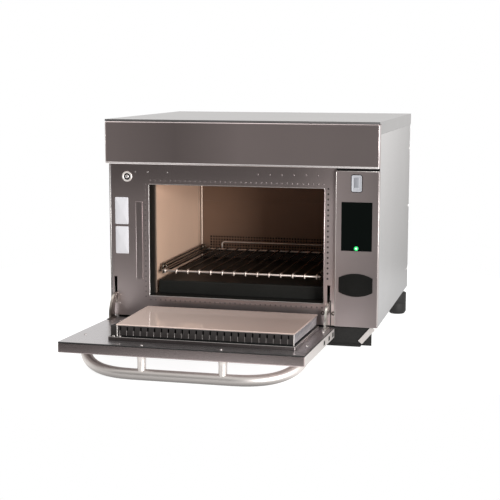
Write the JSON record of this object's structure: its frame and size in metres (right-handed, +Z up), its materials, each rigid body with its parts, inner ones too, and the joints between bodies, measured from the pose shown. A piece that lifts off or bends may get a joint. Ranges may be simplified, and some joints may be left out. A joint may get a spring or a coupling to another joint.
{
  "type": "speed oven",
  "caption": "Countertop speed oven with a hood band, drop-down door carrying a microwave choke and tube handle, wire rack and a control column with a display.",
  "frame": {"origin": "centre of the overall box at floor level, under the feet, with the door open", "axes": "+Z up, -Y out of the door's side, +X to the right as seen from the front"},
  "size_m": [0.638, 0.9154, 0.5304],
  "materials": {
    "brushed_steel": "brushed stainless steel with fine level grain",
    "bright_steel": "bright polished steel",
    "casing_steel": "light satin stainless sheet",
    "cavity_steel": "smooth stainless liner, browned by heat",
    "plated_steel": "dull zinc-plated sheet",
    "polished_tube": "polished stainless tube",
    "black_enamel": "black enamel, semi-gloss",
    "black_rubber": "matt black rubber",
    "black_plastic": "black moulded plastic",
    "choke_polymer": "pale heat-resistant cover, glossy",
    "display_glass": "black glass touch display",
    "grey_plastic": "grey flexible plastic",
    "core_steel": "dark steel",
    "aluminium": "bare aluminium",
    "board_green": "green circuit board"
  },
  "bodies": {
    "oven_body": {"base_pan": "plated_steel", "foot_front_left": "black_rubber", "foot_front_right": "black_rubber", "foot_rear_left": "black_rubber", "foot_rear_right": "black_rubber", "left_side_panel": "casing_steel", "right_side_panel": "casing_steel", "back_panel": "casing_steel", "top_cover": "casing_steel", "hood_front": "brushed_steel", "front_frame": "brushed_steel", "choke_collar": "black_enamel", "cavity_left_wall": "cavity_steel", "cavity_right_wall": "cavity_steel", "cavity_ceiling": "cavity_steel", "cavity_floor": "black_enamel", "cavity_back_wall": "cavity_steel", "cavity_cradle": "plated_steel", "fan_plenum": "plated_steel", "heater_coil": "core_steel", "convection_motor": "core_steel", "rack_rail_left": "core_steel", "rack_rail_right": "core_steel", "base_tray": "black_enamel", "waveguide": "aluminium", "magnetron_left": "aluminium", "magnetron_right": "aluminium", "transformer_front": "core_steel", "transformer_rear": "core_steel", "hv_capacitor": "aluminium", "control_board": "board_green", "cooling_fan_shroud": "black_plastic", "cord_gland": "black_plastic", "switch_bushing": "bright_steel", "control_panel": "brushed_steel", "display_glass": "display_glass", "badge_plate": "black_plastic", "port_socket": "bright_steel", "air_filter": "black_plastic", "filter_end_left": "bright_steel", "filter_end_right": "bright_steel", "hinge_housing_left": "plated_steel", "hinge_housing_right": "plated_steel"},
    "door": {"door_outer_skin": "brushed_steel", "door_seal": "black_rubber", "door_inner_panel": "brushed_steel", "choke_base_plate": "brushed_steel", "choke_fence": "core_steel", "choke_cover": "choke_polymer", "door_handle": "polished_tube", "handle_post_left": "polished_tube", "handle_post_right": "polished_tube", "hinge_arm_left": "plated_steel", "hinge_arm_right": "plated_steel"},
    "rack": {"oven_rack": "bright_steel", "rack_back_stop": "bright_steel"},
    "plunger": {"switch_plunger": "bright_steel"},
    "port_flap": {"port_cover": "grey_plastic"},
    "circulation_fan": {"convection_fan": "bright_steel"},
    "cooling_wheel": {"cooling_fan": "black_plastic"}
  },
  "joints": [
    {"name": "door_hinge", "type": "hinge", "parent": "oven_body", "child": "door", "pos_m": [0, -0.10927, 0.0775], "axis": [1, 0, 0], "range_deg": [-88.2, 0]},
    {"name": "rack_slide", "type": "slide", "parent": "oven_body", "child": "rack", "axis": [0, -1, 0], "range_m": [0, 0.25]},
    {"name": "plunger_slide", "type": "slide", "parent": "oven_body", "child": "plunger", "axis": [0, -1, 0], "range_m": [-0.0022, 0], "stiffness_N_per_m": 300},
    {"name": "port_flap_hinge", "type": "hinge", "parent": "oven_body", "child": "port_flap", "pos_m": [0.2679, -0.13197, 0.4118], "axis": [-1, 0, 0], "range_deg": [0, 95]},
    {"name": "circulation_fan_spin", "type": "hinge", "parent": "oven_body", "child": "circulation_fan", "pos_m": [-0.0132, 0.34163, 0.251], "axis": [0, 1, 0], "continuous": true},
    {"name": "cooling_fan_spin", "type": "hinge", "parent": "oven_body", "child": "cooling_wheel", "pos_m": [0.2498, 0.42623, 0.354], "axis": [0, 1, 0], "continuous": true}
  ]
}
